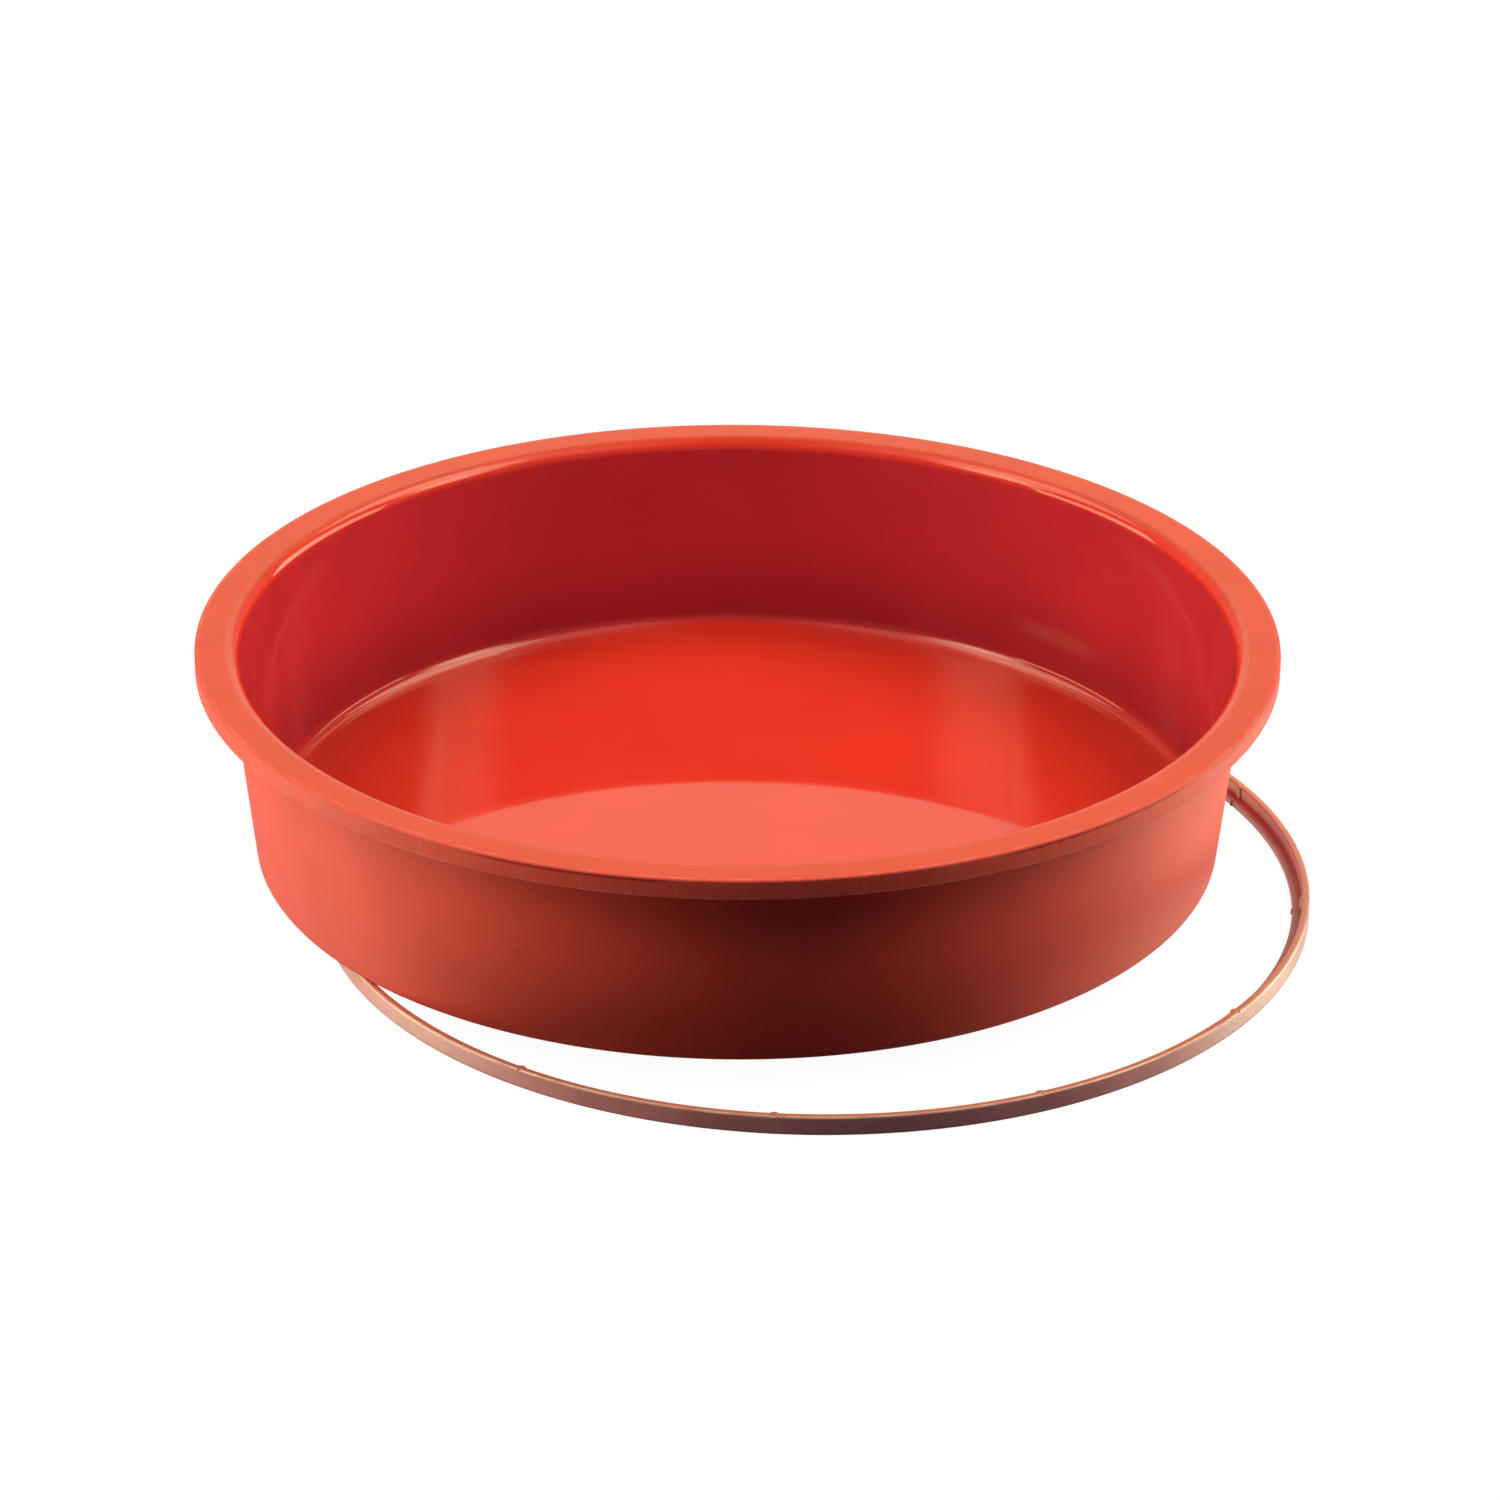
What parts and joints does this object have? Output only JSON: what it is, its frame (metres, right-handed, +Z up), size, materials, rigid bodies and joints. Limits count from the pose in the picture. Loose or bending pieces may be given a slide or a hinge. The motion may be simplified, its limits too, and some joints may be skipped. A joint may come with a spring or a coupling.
{
  "type": "round silicone cake pan",
  "caption": "Round flexible cake pan with a flat floor, leaning wall and flat rim, standing on a thin stiff support ring that is drawn part of the way out from under its foot.",
  "frame": {"origin": "where the pan's axis meets the level plane that the support ring's underside rests on", "axes": "+Z up along the pan's axis; -Y is the front, where the ring shows from under the pan; +X is to the right seen from the front"},
  "size_m": [0.2853, 0.2901, 0.0615],
  "materials": {
    "pan_silicone": "glossy inside, satin rim, matte outside",
    "ring_nylon": "satin"
  },
  "bodies": {
    "pan": {"cake_pan": "pan_silicone"},
    "ring": {"support_ring": "ring_nylon"}
  },
  "joints": [
    {"name": "ring_slide", "type": "slide", "parent": "pan", "child": "ring", "axis": [0.6293, -0.7771, 0], "range_m": [-0.032, 0.234]}
  ]
}
